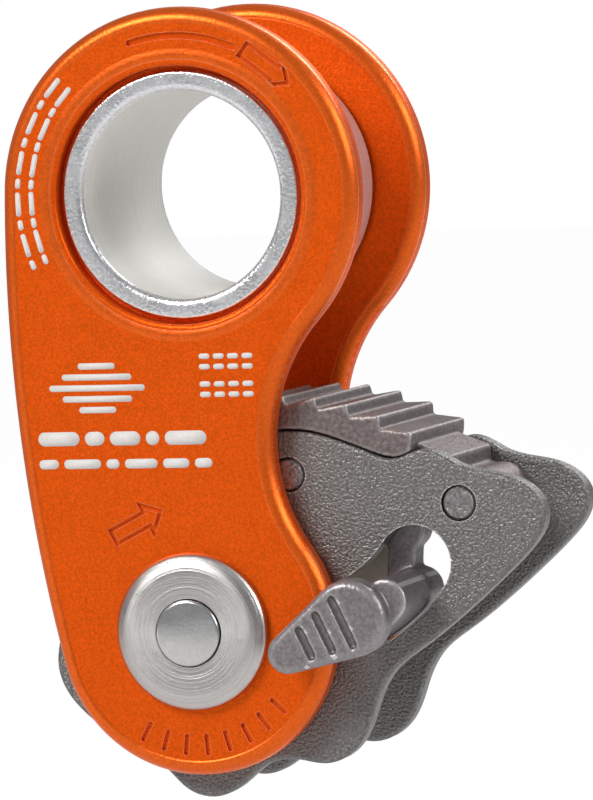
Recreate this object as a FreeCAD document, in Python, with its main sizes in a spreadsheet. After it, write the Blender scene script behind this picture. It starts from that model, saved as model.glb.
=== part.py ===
"""Pocket ascender pulley: two side plates on a hollow axle, a sheave and a toothed cam with a thumb lever.

The frame's origin is the centre of the carabiner bore, half way across the width. +X points to the cam's
beak, +Y to the rear plate and +Z up, so the front side plate is at -Y. Lengths are in millimetres.
"""
import FreeCAD, Part
import math
import os
import Sketcher
from FreeCAD import Vector

SIZES = {
    # hollow axle and its rims
    "boreRadius": 9.0, "axleWall": 0.7, "rimStand": 1.0, "rimThick": 1.1, "rimRecess": 0.7,
    "lipGap": 0.45, "lipRound": 0.35, "rimBevel": 0.45, "rimBreak": 0.27,
    # side plates
    "insideWidth": 17.0, "plateThick": 3.0, "crownWall": 5.05, "plateFoot": 12.65, "plateWaist": 15.5,
    "plateBack": 150.0, "plateRound": 1.25, "pivotDrop": 37.7,
    # sheave
    "sheaveWall": 1.45, "sheaveHollow": 0.35, "bushWall": 0.4, "bushFlange": 0.5, "bushFlangeWide": 0.9,
    # pivot
    "pinRadius": 2.88, "pinStand": 1.95, "pinDome": 0.2, "pinEdge": 0.4, "sleeveWall": 2.1,
    "washerRadius": 6.87, "washerFlat": 5.6, "washerThick": 1.5, "washerEdge": 0.7, "washerBreak": 0.3,
    "shimRadius": 8.4, "shimThick": 0.2,
    # cam plates
    "camGap": 0.25, "camThick": 2.0, "camRound": 0.35,
    "leverPinAcross": 8.05, "leverPinUp": 13.2, "leverPinRadius": 1.42,
    "jawPinAcross": 23.3, "jawPinUp": 10.6, "jawPinRadius": 1.45, "pinBreak": 0.2,
    "slotHalf": 3.3, "slotAbove": 25.0, "slotBelow": 12.0,
    # toothed jaw
    "toothTop": 25.5, "toothDrop": 0.98, "toothDepth": 0.8, "toothPitch": 7.0, "toothStart": 40.9,
    "toothCrest": 0.27,
    "toothRound": 0.25, "jawCheek": 1.3, "jawBoss": 2.4, "jawHubWall": 1.6, "jawLift": 0.15,
    # lock lever: its neck passes the side plate's foot at neckGap, and the slot is cut round the neck
    "leverHub": 3.0, "leverBushWall": 0.55, "armHalf": 2.0, "webHalf": 1.25,
    "kneeReach": 10.65, "kneeAngle": 28.0,
    "neckGap": 0.81, "neckAngle": 2.09, "neckTurn": 15.0, "neckOff": 1.1,
    "padThick": 2.9, "padStand": 2.3, "padLong": 6.3, "padWide": 3.35, "padNarrow": 1.75,
    "padAcross": -1.44, "padUp": -0.12, "padSlope": 28.0, "padRound": 0.7,
    "gripPitch": 1.9, "gripWidth": 0.75, "gripDepth": 0.45, "gripReach": 1.65, "gripTaper": 0.45,
    "gripShare": 0.38, "gripLean": 3.0, "neckShare": 0.4,
    # marks cut in the front plate
    "markDepth": 0.3, "markLine": 0.4, "arrowRing": 13.75, "arrowAt": 52.0, "arrowLong": 5.4,
    "arrowNeck": 0.8, "arrowShaft": 0.85, "arrowHead": 1.75, "swingRing": 10.5, "swingAt": 117.0,
    "tailFrom": 66.0, "tailTo": 106.0, "tailHalf": 0.3,
    "tickRing": 9.9, "tickLong": 1.5, "tickHalf": 0.22, "tickFrom": -118.0, "tickPitch": 11.0,
    # seat of the closing spring's leg
    "seatGap": 0.16, "seatAngle": 3.2, "seatRun": 3.2, "seatRise": 3.7, "seatHalf": 2.4, "seatDeep": 5.4,
    # springs
    "springWire": 1.1, "springGap": 0.35, "springTurn": 35.0, "springFoot": 4.5, "springLeg": 6.5,
    "leverWire": 0.4, "leverSpringGap": 0.2, "leverSpringRoom": 1.75, "leverSpringSide": 0.32,
    "leverSpringTurn": 120.0, "leverSpringLeg": 2.4,
    # fits shared by every pair
    "runFit": 0.05, "seatFit": 0.02, "pinFit": 0.12, "clearFit": 0.3,
}
TOOTH_COUNT = 9
TICK_COUNT = 8
SPRING_TURNS = 5
LEVER_SPRING_TURNS = 2.25
SPRING_PITCH = 1.12                               # wire diameters from turn to turn

doc = FreeCAD.newDocument("Ascender")
sheet = doc.addObject("Spreadsheet::Sheet", "Sizes")
pieces = []


class Dim:
    """A length from the sheet: its present value, and the expression that binds it."""

    def __init__(self, value, text):
        self.value = float(value)
        self.text = text

    def __add__(self, other):
        other = dim(other)
        return Dim(self.value + other.value, f"({self.text} + {other.text})")

    def __sub__(self, other):
        other = dim(other)
        return Dim(self.value - other.value, f"({self.text} - {other.text})")

    def __mul__(self, other):
        other = dim(other)
        return Dim(self.value * other.value, f"({self.text} * {other.text})")

    def __truediv__(self, other):
        other = dim(other)
        return Dim(self.value / other.value, f"({self.text} / {other.text})")

    def __neg__(self):
        return Dim(-self.value, f"(0 - {self.text})")


def dim(number):
    """A plain number as a Dim; a Dim is passed through."""
    return number if isinstance(number, Dim) else Dim(number, f"{float(number)!r}")


def fill_sheet():
    """Write every size to the sheet and give back its Dims by name."""
    dims = {}
    for row, (name, number) in enumerate(SIZES.items(), start=1):
        sheet.set(f"A{row}", name)
        sheet.set(f"B{row}", str(number))
        sheet.setAlias(f"B{row}", name)
        dims[name] = Dim(number, f"Sizes.{name}")
    doc.recompute()
    return dims


D = fill_sheet()
INNER = D["insideWidth"] / 2                      # inner face of a side plate
OUTER = INNER + D["plateThick"]                   # outer face of a side plate
CAM_OUTER = INNER - D["camGap"]                   # outer face of a cam plate
CAM_INNER = CAM_OUTER - D["camThick"]             # inner face of a cam plate
AXLE_OUT = D["boreRadius"] + D["axleWall"]        # the axle's barrel
BUSH_IN = AXLE_OUT + D["runFit"]
BUSH_OUT = BUSH_IN + D["bushWall"]
RIM_OUT = AXLE_OUT + D["rimStand"]
LIP_OUT = RIM_OUT + D["lipGap"]                   # counterbore round the rim
PLATE_TOP = LIP_OUT + D["crownWall"]
SHEAVE_OUT = BUSH_OUT + D["sheaveWall"]
SLEEVE_OUT = D["pinRadius"] + D["seatFit"] + D["sleeveWall"]
PIVOT_UP = -D["pivotDrop"]
LEVER_FACE = CAM_INNER - D["clearFit"]            # front face of the lever inside the cam
LEVER_DEEP = LEVER_FACE - D["jawCheek"] - D["leverSpringRoom"]
LEVER_BUSH_OUT = D["leverPinRadius"] + D["runFit"] + D["leverBushWall"]


def neck_place():
    """Radius and angle about the lever pin of the neck's lower end, which just clears the side plate."""
    reach = SIZES["plateFoot"] + SIZES["neckGap"] + NECK_HALF
    angle = math.radians(SIZES["neckAngle"])
    across = reach * math.cos(angle) - SIZES["leverPinAcross"]
    up = reach * math.sin(angle) - SIZES["leverPinUp"]
    return math.hypot(across, up), -math.degrees(math.atan2(up, across))


NECK_HALF = SIZES["slotHalf"] - SIZES["clearFit"] - SIZES["neckOff"]
NECK_RADIUS, NECK_LOWER = neck_place()
NECK_UPPER = NECK_LOWER - SIZES["neckTurn"]


# ---- building helpers ------------------------------------------------------------------------------

def new_body(label, along_y=None, up=None):
    """A PartDesign body placed along Y and Z by bound lengths."""
    body = doc.addObject("PartDesign::Body", label)
    body.Label = label
    if along_y is not None:
        body.setExpression("Placement.Base.y", along_y.text)
    if up is not None:
        body.setExpression("Placement.Base.z", up.text)
    pieces.append(body)
    return body


def new_sketch(body, role, name, offset=None):
    """A sketch on one of the body's own origin planes, moved along the plane's normal by offset."""
    plane = next(f for f in body.Origin.OriginFeatures if f.Role == role)
    sketch = body.newObject("Sketcher::SketchObject", name)
    sketch.AttachmentSupport = [(plane, "")]
    sketch.MapMode = "FlatFace"
    if offset is not None:
        sketch.setExpression("AttachmentOffset.Base.z", offset.text)
    return sketch


def bind(sketch, kind, *where, to):
    """Add a constraint and bind its value to a Dim."""
    index = sketch.addConstraint(Sketcher.Constraint(kind, *where, to.value))
    sketch.setExpression(f"Constraints[{index}]", to.text)


def add_circle(sketch, across, up, radius):
    """A circle whose centre and radius are bound."""
    centre = Vector(across.value, up.value, 0)
    index = sketch.addGeometry(Part.Circle(centre, Vector(0, 0, 1), radius.value))
    bind(sketch, "DistanceX", index, 3, to=across)
    bind(sketch, "DistanceY", index, 3, to=up)
    bind(sketch, "Radius", index, to=radius)


def add_polygon(sketch, corners):
    """A closed polygon through corners, each a pair of Dims or numbers, every corner bound."""
    corners = [(dim(across), dim(up)) for across, up in corners]
    first = sketch.GeometryCount
    count = len(corners)
    for i, (across, up) in enumerate(corners):
        next_across, next_up = corners[(i + 1) % count]
        start = Vector(across.value, up.value, 0)
        end = Vector(next_across.value, next_up.value, 0)
        sketch.addGeometry(Part.LineSegment(start, end))
    for i, (across, up) in enumerate(corners):
        line = first + i
        sketch.addConstraint(Sketcher.Constraint("Coincident", line, 2, first + (i + 1) % count, 1))
        bind(sketch, "DistanceX", line, 1, to=across)
        bind(sketch, "DistanceY", line, 1, to=up)


def add_kidney(sketch, centre, radius, half, upper, lower):
    """A slot of half width half bent round centre, from angle -upper to angle -lower in degrees."""
    middle = Vector(centre[0], centre[1], 0)
    angles = [math.radians(-lower), math.radians(-upper)]
    axis = Vector(0, 0, 1)
    outer = Part.ArcOfCircle(Part.Circle(middle, axis, radius + half), *angles)
    inner = Part.ArcOfCircle(Part.Circle(middle, axis, radius - half), *angles)
    caps = []
    for angle, turn in zip(angles, (math.pi, 0.0)):
        cap_at = middle + Vector(math.cos(angle), math.sin(angle), 0) * radius
        caps.append(Part.ArcOfCircle(Part.Circle(cap_at, axis, half), angle + turn, angle + turn + math.pi))
    sketch.addGeometry([outer, caps[1], inner, caps[0]])


def add_spline(sketch, points, closed):
    """A smooth curve through points."""
    curve = Part.BSplineCurve()
    curve.interpolate(Points=[Vector(x, y, 0) for x, y in points], PeriodicFlag=closed)
    sketch.addGeometry(curve)


def add_lines(sketch, points):
    """Straight lines from each point to the next."""
    for (x1, y1), (x2, y2) in zip(points, points[1:]):
        sketch.addGeometry(Part.LineSegment(Vector(x1, y1, 0), Vector(x2, y2, 0)))


def pad(body, sketch, length, both_ways=False, reverse=False):
    """Pad a sketch; on the XZ plane it grows towards -Y unless reversed."""
    feature = body.newObject("PartDesign::Pad", sketch.Name + "Pad")
    feature.Profile = sketch
    feature.setExpression("Length", length.text)
    feature.Midplane = both_ways
    feature.Reversed = reverse
    body.Tip = feature
    doc.recompute()
    return feature


def pocket(body, sketch, depth=None, both_ways=False, reverse=False):
    """Pocket a sketch, through everything unless depth is given; it must remove material."""
    before = body.Shape.Volume
    feature = body.newObject("PartDesign::Pocket", sketch.Name + "Pocket")
    feature.Profile = sketch
    if depth is None:
        feature.Type = "ThroughAll"
    else:
        feature.setExpression("Length", depth.text)
    feature.Midplane = both_ways
    feature.Reversed = reverse
    body.Tip = feature
    doc.recompute()
    if not body.Shape.Volume < before - 1e-6:
        raise RuntimeError(f"{feature.Name} cut nothing")
    return feature


def revolve(body, sketch):
    """Revolve a profile about Y; the profile is drawn as (radius, y) on the XY plane."""
    feature = body.newObject("PartDesign::Revolution", sketch.Name + "Turned")
    feature.Profile = sketch
    feature.ReferenceAxis = (sketch, ["V_Axis"])
    feature.Angle = 360
    body.Tip = feature
    doc.recompute()
    return feature


def turned(label, corners, along_y=None, up=None):
    """A sub-part turned about Y from a closed profile of (radius, y) corners."""
    body = new_body(label, along_y, up)
    sketch = new_sketch(body, "XY_Plane", label + "Profile")
    add_polygon(sketch, corners)
    revolve(body, sketch)
    return body


def round_edges(body, radius, chosen, kind="PartDesign::Fillet"):
    """Round the edges that chosen(edge) picks."""
    base = body.Tip
    names = [f"Edge{i}" for i, edge in enumerate(base.Shape.Edges, start=1) if chosen(edge)]
    feature = body.newObject(kind, base.Name + "Round")
    feature.Base = (base, names)
    feature.setExpression("Radius" if kind.endswith("Fillet") else "Size", radius.text)
    body.Tip = feature
    doc.recompute()
    return feature


def at_y(edge, y):
    """True for an edge that lies wholly at one Y."""
    box = edge.BoundBox
    return abs(box.YMin - y) < 1e-3 and abs(box.YMax - y) < 1e-3


# ---- side plates, axle and pivot -------------------------------------------------------------------

def side_outline(sketch):
    """Crown arc about the bore, foot arc about the pivot, joined by a gentle back and a hollow waist."""
    top, foot = PLATE_TOP.value, SIZES["plateFoot"]
    drop, back, waist = SIZES["pivotDrop"], SIZES["plateBack"], SIZES["plateWaist"]
    back_at = meet(drop, back - top, back - foot, 1)
    waist_at = meet(drop, waist + top, waist + foot, 1)
    crown, base = Vector(0, 0, 0), Vector(0, -drop, 0)
    back_up = angle_from(back_at, crown, True)
    back_down = angle_from(back_at, base, True)
    waist_up = angle_from(waist_at, crown, False)
    waist_down = angle_from(waist_at, base, False)
    axis = Vector(0, 0, 1)
    turn = 2 * math.pi
    arcs = [
        (crown, top, waist_up[1], back_up[1]),
        (back_at, back, back_up[0], back_down[0]),
        (base, foot, back_down[1], waist_down[1] + turn),
        (waist_at, waist, waist_up[0], waist_down[0]),
    ]
    for centre, radius, start, end in arcs:
        sketch.addGeometry(Part.ArcOfCircle(Part.Circle(centre, axis, radius), start, end))
    joins = [(0, 2, 1, 1), (1, 2, 2, 1), (2, 2, 3, 2), (3, 1, 0, 1)]
    for first, first_end, second, second_end in joins:
        sketch.addConstraint(Sketcher.Constraint("Tangent", first, first_end, second, second_end))
    sketch.addConstraint(Sketcher.Constraint("Coincident", 0, 3, -1, 1))
    sketch.addConstraint(Sketcher.Constraint("PointOnObject", 2, 3, -2))
    bind(sketch, "DistanceY", 2, 3, to=PIVOT_UP)
    for index, radius in enumerate((PLATE_TOP, D["plateBack"], D["plateFoot"], D["plateWaist"])):
        bind(sketch, "Radius", index, to=radius)


def meet(drop, to_crown, to_base, side):
    """The point at distance to_crown from the bore and to_base from the pivot, on the +X side."""
    up = (to_base ** 2 - to_crown ** 2 - drop ** 2) / (2 * drop)
    return Vector(side * math.sqrt(to_crown ** 2 - up ** 2), up, 0)


def angle_from(arc_centre, hub, inside):
    """Angles at which a joining arc leaves a hub arc: about its own centre, then about the hub."""
    away = hub - arc_centre
    own = math.atan2(away.y, away.x) % (2 * math.pi)
    about_hub = own if inside else (own + math.pi) % (2 * math.pi)
    return own, about_hub


def side_plate(label, front):
    """Orange plate with a counterbore for the axle's rim, a rivet hole and rounded edges."""
    outer_face = -OUTER if front else OUTER
    body = new_body(label, outer_face)
    outline = new_sketch(body, "XZ_Plane", label + "Outline")
    side_outline(outline)
    pad(body, outline, D["plateThick"], reverse=front)
    inner_y = SIZES["plateThick"] if front else -SIZES["plateThick"]
    round_edges(body, D["plateRound"], lambda edge: at_y(edge, 0) or at_y(edge, inner_y))
    holes = new_sketch(body, "XZ_Plane", label + "Holes", D["plateThick"] if not front else None)
    add_circle(holes, dim(0), dim(0), AXLE_OUT + D["seatFit"])
    add_circle(holes, dim(0), PIVOT_UP, D["pinRadius"] + D["seatFit"])
    pocket(body, holes, both_ways=True)
    counterbore = new_sketch(body, "XZ_Plane", label + "Counterbore")
    add_circle(counterbore, dim(0), dim(0), LIP_OUT)
    pocket(body, counterbore, D["rimThick"] + D["rimRecess"], reverse=not front)
    round_edges(body, D["lipRound"], lambda edge: at_y(edge, 0) and on_circle(edge, LIP_OUT.value))
    if front:
        engrave_marks(body)
    return body


def engrave_marks(body):
    """Opening arrow with a plain arc behind it, a small arrow over the pivot and ticks round the foot."""
    cut_arrow(body, "openArrow", SIZES["arrowRing"], SIZES["arrowAt"])
    cut_arrow(body, "swingArrow", SIZES["swingRing"], SIZES["swingAt"], -SIZES["pivotDrop"])
    tail = new_sketch(body, "XZ_Plane", "arrowTail")
    add_kidney(tail, (0, 0), SIZES["arrowRing"], SIZES["tailHalf"], -SIZES["tailTo"], -SIZES["tailFrom"])
    pocket(body, tail, D["markDepth"])
    ticks = new_sketch(body, "XZ_Plane", "footTicks")
    pivot = Vector(0, -SIZES["pivotDrop"], 0)
    for k in range(TICK_COUNT):
        angle = math.radians(SIZES["tickFrom"] + SIZES["tickPitch"] * k)
        way = Vector(math.cos(angle), math.sin(angle), 0)
        middle = pivot + way * SIZES["tickRing"]
        reach = way * (SIZES["tickLong"] / 2)
        bar(ticks, middle - reach, middle + reach, SIZES["tickHalf"])
    pocket(body, ticks, D["markDepth"])


def arrow_points(inset):
    """A plain arrow that points clockwise round its centre, shrunk by inset on every side."""
    long, shaft, head = SIZES["arrowLong"], SIZES["arrowShaft"], SIZES["arrowHead"]
    neck = SIZES["arrowNeck"]
    half_angle = math.atan2(head, long / 2 - neck)
    tip = long / 2 - inset / math.sin(half_angle)
    side = (tip - neck - inset) * math.tan(half_angle) if inset else head
    return [(-long / 2 + inset, -shaft + inset), (neck + inset, -shaft + inset), (neck + inset, -side),
            (tip, 0), (neck + inset, side), (neck + inset, shaft - inset),
            (-long / 2 + inset, shaft - inset)]


def cut_arrow(body, name, ring, degrees, centre_up=0.0):
    """Engrave an arrow's outline at a radius and angle about a centre on the front face."""
    sketch = new_sketch(body, "XZ_Plane", name)
    angle = math.radians(degrees)
    lean = angle - math.pi / 2
    for inset in (0.0, SIZES["markLine"]):
        placed = []
        for along, aside in arrow_points(inset):
            across = ring * math.cos(angle) + along * math.cos(lean) - aside * math.sin(lean)
            up = ring * math.sin(angle) + along * math.sin(lean) + aside * math.cos(lean)
            placed.append((across, centre_up + up))
        add_lines(sketch, placed + placed[:1])
    pocket(body, sketch, D["markDepth"])


def on_circle(edge, radius):
    """True for a full circle of this radius."""
    return hasattr(edge.Curve, "Radius") and abs(edge.Curve.Radius - radius) < 1e-3


def hollow_axle():
    """One tube with both ends rolled out into rims that sit in the plates' counterbores."""
    face = OUTER - D["rimRecess"]
    back = face - D["rimThick"]
    bevel = D["rimBevel"]
    corner = D["rimBreak"]
    inside, outside, rim = D["boreRadius"], AXLE_OUT, RIM_OUT
    half = [(outside, back), (rim, back), (rim, face - corner), (rim - corner, face),
            (inside + bevel, face), (inside, face - bevel)]
    mirrored = [(radius, -up) for radius, up in reversed(half)]
    return turned("hollow_axle", half + mirrored)


def pivot_parts():
    """Rivet pin, its two turned washers, the sleeve it clamps and the shims beside the cam."""
    stand = OUTER + D["pinStand"]
    edge = stand - D["pinDome"]
    radius = D["pinRadius"]
    inner_edge = radius - D["pinEdge"]
    turned("pivot_rivet", [(0, stand), (inner_edge, stand), (radius, edge), (radius, -edge),
                           (inner_edge, -stand), (0, -stand)], up=PIVOT_UP)
    hole = radius + D["seatFit"]
    for label, sign in (("front_rivet_washer", -1), ("rear_rivet_washer", 1)):
        face = (OUTER + D["washerThick"]) * sign
        foot = OUTER * sign
        rim = (OUTER + D["washerEdge"]) * sign
        bevel = (OUTER + D["washerThick"] - D["washerBreak"]) * sign
        turned(label, [(hole, foot), (D["washerRadius"], foot), (D["washerRadius"], rim),
                       (D["washerFlat"], face), (hole + D["washerBreak"], face), (hole, bevel)],
               up=PIVOT_UP)
    sleeve_end = INNER - D["seatFit"]
    turned("pivot_sleeve", [(hole, -sleeve_end), (SLEEVE_OUT, -sleeve_end), (SLEEVE_OUT, sleeve_end),
                            (hole, sleeve_end)], up=PIVOT_UP)
    for label, sign in (("front_shim", -1), ("rear_shim", 1)):
        near = INNER * sign
        far = (INNER - D["shimThick"]) * sign
        bore = SLEEVE_OUT + D["runFit"]
        turned(label, [(bore, near), (D["shimRadius"], near), (D["shimRadius"], far), (bore, far)],
               up=PIVOT_UP)


# ---- sheave ----------------------------------------------------------------------------------------

def sheave_parts():
    """A hollow-waisted ring on two flanged bushes that run on the axle between the plates."""
    flange_face = INNER - D["runFit"]
    ring_face = flange_face - D["bushFlange"]
    bore = BUSH_OUT
    outer = SHEAVE_OUT
    waist = outer - D["sheaveHollow"]
    body = new_body("sheave")
    sketch = new_sketch(body, "XY_Plane", "sheaveProfile")
    points = [(bore, -ring_face), (outer, -ring_face), (outer, ring_face), (bore, ring_face)]
    for (x1, y1), (x2, y2) in ((points[0], points[1]), (points[2], points[3]), (points[3], points[0])):
        sketch.addGeometry(Part.LineSegment(Vector(x1.value, y1.value, 0), Vector(x2.value, y2.value, 0)))
    groove = Part.Arc(Vector(outer.value, -ring_face.value, 0), Vector(waist.value, 0, 0),
                      Vector(outer.value, ring_face.value, 0))
    sketch.addGeometry(groove)
    for first, first_end, second, second_end in ((0, 2, 3, 2), (3, 1, 1, 1), (1, 2, 2, 1), (2, 2, 0, 1)):
        sketch.addConstraint(Sketcher.Constraint("Coincident", first, first_end, second, second_end))
    bind(sketch, "Radius", 3, to=(ring_face * ring_face + (outer - waist) * (outer - waist))
         / ((outer - waist) * 2))
    for line, end, (across, up) in ((0, 1, points[0]), (0, 2, points[1]), (1, 1, points[2]),
                                    (1, 2, points[3])):
        bind(sketch, "DistanceX", line, end, to=across)
        bind(sketch, "DistanceY", line, end, to=up)
    revolve(body, sketch)
    for label, sign in (("front_sheave_bush", -1), ("rear_sheave_bush", 1)):
        mid = D["runFit"] * sign
        turned(label, [(BUSH_IN, mid), (BUSH_OUT, mid), (BUSH_OUT, ring_face * sign),
                       (BUSH_OUT + D["bushFlangeWide"], ring_face * sign),
                       (BUSH_OUT + D["bushFlangeWide"], flange_face * sign),
                       (BUSH_IN, flange_face * sign)])


# ---- cam -------------------------------------------------------------------------------------------

# Upper edge of a cam plate, from behind the side plate to the hump before the beak.
CAM_TOP = [(-3.6, 14.0), (1.5, 16.1), (7.2, 17.0), (10.3, 16.8), (13.1, 15.95), (15.6, 15.0), (17.4, 14.5),
           (19.1, 15.0)]
# The rest of its outline, clockwise: beak, finger scallops along the foot, heel.
CAM_REST = [(20.4, 15.25), (23.5, 13.9), (27.1, 13.05), (29.6, 12.0), (30.9, 10.2), (30.7, 8.4),
            (29.3, 6.4), (26.8, 4.0), (23.2, 0.9), (19.5, -1.9), (16.9, -3.9), (15.4, -6.4), (14.3, -9.2),
            (12.6, -11.2), (10.4, -11.95), (7.8, -11.6), (5.2, -12.0), (2.7, -13.9), (0.3, -14.9),
            (-2.2, -14.3), (-4.6, -12.1), (-7.6, -10.6), (-10.6, -8.4), (-13.0, -5.9), (-13.9, -3.4),
            (-13.5, -0.6), (-12.3, 3.2), (-10.2, 7.6), (-7.3, 11.4)]


def cam_plate(label, outer_face):
    """Stamped plate with a beak, finger scallops, pin holes, the pivot hole and the lever's curved slot."""
    body = new_body(label, outer_face, PIVOT_UP)
    outline = new_sketch(body, "XZ_Plane", label + "Outline")
    add_spline(outline, CAM_TOP + CAM_REST, closed=True)
    pad(body, outline, D["camThick"], reverse=True)
    reach = SIZES["camThick"]
    round_edges(body, D["camRound"], lambda edge: at_y(edge, 0) or at_y(edge, reach))
    holes = new_sketch(body, "XZ_Plane", label + "Holes")
    add_circle(holes, dim(0), dim(0), SLEEVE_OUT + D["runFit"])
    add_circle(holes, D["leverPinAcross"], D["leverPinUp"], D["leverPinRadius"] + D["pinFit"])
    add_circle(holes, D["jawPinAcross"], D["jawPinUp"], D["jawPinRadius"] + D["pinFit"])
    pocket(body, holes, both_ways=True)
    slot = new_sketch(body, "XZ_Plane", label + "Slot")
    centre = (SIZES["leverPinAcross"], SIZES["leverPinUp"])
    add_kidney(slot, centre, NECK_RADIUS - SIZES["neckOff"], SIZES["slotHalf"],
               NECK_LOWER - SIZES["slotAbove"], NECK_LOWER + SIZES["slotBelow"])
    pocket(body, slot, both_ways=True)
    return body


def polar(radius, degrees):
    """A point about the pivot."""
    angle = math.radians(degrees)
    return radius * math.cos(angle), radius * math.sin(angle)


def tooth_points():
    """Crest and root of each tooth from the beak side back; the radius shrinks tooth by tooth."""
    points = []
    for k in range(TOOTH_COUNT):
        radius = SIZES["toothTop"] - SIZES["toothDrop"] * k
        angle = SIZES["toothStart"] + SIZES["toothPitch"] * k
        depth = SIZES["toothDepth"]
        points.append(polar(radius - depth, angle - SIZES["toothPitch"] * SIZES["toothCrest"]))
        points.append(polar(radius, angle))
    return points


def toothed_jaw():
    """Cast jaw: a toothed head as wide as the cam, and a narrower body between the plates."""
    body = new_body("toothed_jaw", up=PIVOT_UP)
    under = [(across, up + SIZES["jawLift"]) for across, up in CAM_TOP]
    teeth = tooth_points()
    right_end, left_end = under[-1], under[0]
    last = teeth[-1]
    heel = (last[0] - 1.6, last[1] - 0.9)
    head = new_sketch(body, "XZ_Plane", "jawHead")
    add_spline(head, under, closed=False)
    add_lines(head, [right_end] + teeth + [heel, left_end])
    pad(body, head, CAM_OUTER * 2, both_ways=True)
    crests = teeth[1::2]
    round_edges(body, D["toothRound"], lambda edge: along_width(edge, crests))
    inner = new_sketch(body, "XZ_Plane", "jawBody", -(CAM_INNER - D["seatFit"]))
    add_lines(inner, jaw_body_points())
    pad(body, inner, CAM_INNER - D["seatFit"] + D["jawCheek"])
    step = new_sketch(body, "XZ_Plane", "jawStep")
    add_lines(step, jaw_step_points())
    pad(body, step, (CAM_INNER - D["seatFit"]) * 2, both_ways=True)
    boss = new_sketch(body, "XZ_Plane", "jawBoss")
    add_circle(boss, D["jawPinAcross"], D["jawPinUp"], D["jawBoss"])
    pad(body, boss, (CAM_INNER - D["seatFit"]) * 2, both_ways=True)
    holes = new_sketch(body, "XZ_Plane", "jawHoles")
    add_circle(holes, D["leverPinAcross"], D["leverPinUp"], D["leverPinRadius"] + D["seatFit"])
    add_circle(holes, D["jawPinAcross"], D["jawPinUp"], D["jawPinRadius"] + D["seatFit"])
    pocket(body, holes, both_ways=True)
    return body


def along_width(edge, crests):
    """True for a straight edge that runs across the width at a tooth's crest."""
    box = edge.BoundBox
    if box.YLength < SIZES["insideWidth"] * 0.8:
        return False
    return any(math.hypot(box.XMin - x, box.ZMin - z) < 0.02 for x, z in crests)


def jaw_body_points():
    """Outline of the jaw's body: step behind the last tooth, boss at the front pin, web to the lever pin."""
    pin, boss = (SIZES["jawPinAcross"], SIZES["jawPinUp"]), SIZES["jawBoss"]
    hub = (SIZES["leverPinAcross"], SIZES["leverPinUp"])
    wall = SIZES["leverPinRadius"] + SIZES["jawHubWall"]
    points = [(18.4, 15.9), (22.0, 14.5), (22.0, 13.2), (pin[0] + 0.9, pin[1] + boss * 0.75),
              (pin[0] + 0.3, pin[1] + 0.2), (pin[0] - 0.4, pin[1] - boss * 0.8),
              (hub[0] + wall * 1.9, hub[1] - 2.6), (hub[0] + 0.6, hub[1] - wall), (hub[0] - wall, hub[1]),
              (hub[0] - wall, hub[1] + 4.2), (hub[0] + 2.0, hub[1] + 4.8)]
    return points + points[:1]


def jaw_step_points():
    """Outline of the step that fills the width between the plates behind the last tooth."""
    pin = (SIZES["jawPinAcross"], SIZES["jawPinUp"])
    points = [(16.8, 15.3), (18.6, 15.9), (22.2, 14.45), (22.2, 13.15), (pin[0] + 1.1, pin[1] + 2.0),
              (pin[0] + 0.1, pin[1] + 0.1), (pin[0] - 2.2, pin[1] + 1.7), (17.2, 13.3)]
    return points + points[:1]


def cam_pins():
    """The two flush pins that tie plates, jaw and lever together."""
    end = CAM_OUTER
    for label, across, up, radius in (
            ("lever_pin", D["leverPinAcross"], D["leverPinUp"], D["leverPinRadius"]),
            ("jaw_pin", D["jawPinAcross"], D["jawPinUp"], D["jawPinRadius"])):
        soft = D["pinBreak"]
        body = turned(label, [(0, -end), (radius - soft, -end), (radius, -end + soft),
                              (radius, end - soft), (radius - soft, end), (0, end)],
                      up=PIVOT_UP + up)
        body.setExpression("Placement.Base.x", across.text)


def coil(label, wire, radius, turns, place, turn, first_leg, last_leg):
    """A torsion spring at a place: a helix about Y, turned by an angle, between two straight legs."""
    pitch = wire * SPRING_PITCH
    helix = Part.makeHelix(pitch, pitch * turns, radius)
    helix.rotate(Vector(0, 0, 0), Vector(1, 0, 0), -90)
    helix.rotate(Vector(0, 0, 0), Vector(0, 1, 0), turn)
    edges = list(helix.Edges)
    first = edges[0].valueAt(edges[0].FirstParameter)
    first_way = edges[0].tangentAt(edges[0].FirstParameter)
    last = edges[-1].valueAt(edges[-1].LastParameter)
    last_way = edges[-1].tangentAt(edges[-1].LastParameter)
    start = first - first_way * first_leg
    edges.insert(0, Part.LineSegment(start, first).toShape())
    edges.append(Part.LineSegment(last, last + last_way * last_leg).toShape())
    path = Part.Wire(edges)
    section = Part.Wire(Part.Circle(start, first_way, wire / 2).toShape())
    solid = path.makePipeShell([section], True, True)
    if not solid.isClosed() or solid.ShapeType != "Solid":
        solid = Part.Solid(Part.Shell(solid.Faces))
    if solid.Volume < 0:
        solid.reverse()
    feature = doc.addObject("Part::Feature", label)
    feature.Label = label
    feature.Shape = solid
    feature.Placement.Base = place
    pieces.append(feature)


def spring_seat():
    """Moulded block on the rear cam plate that takes the closing spring's leg."""
    body = new_body("spring_seat", up=PIVOT_UP)
    sketch = new_sketch(body, "XZ_Plane", "seatOutline", -(CAM_INNER - D["seatFit"]))
    spring_out = SLEEVE_OUT.value + SIZES["springGap"] + SIZES["springWire"]
    start = Vector(*polar(spring_out + SIZES["seatGap"] + SIZES["seatHalf"], SIZES["seatAngle"]), 0)
    bar(sketch, start, start + Vector(SIZES["seatRun"], SIZES["seatRise"], 0), SIZES["seatHalf"])
    pad(body, sketch, D["seatDeep"])
    return body


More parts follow.
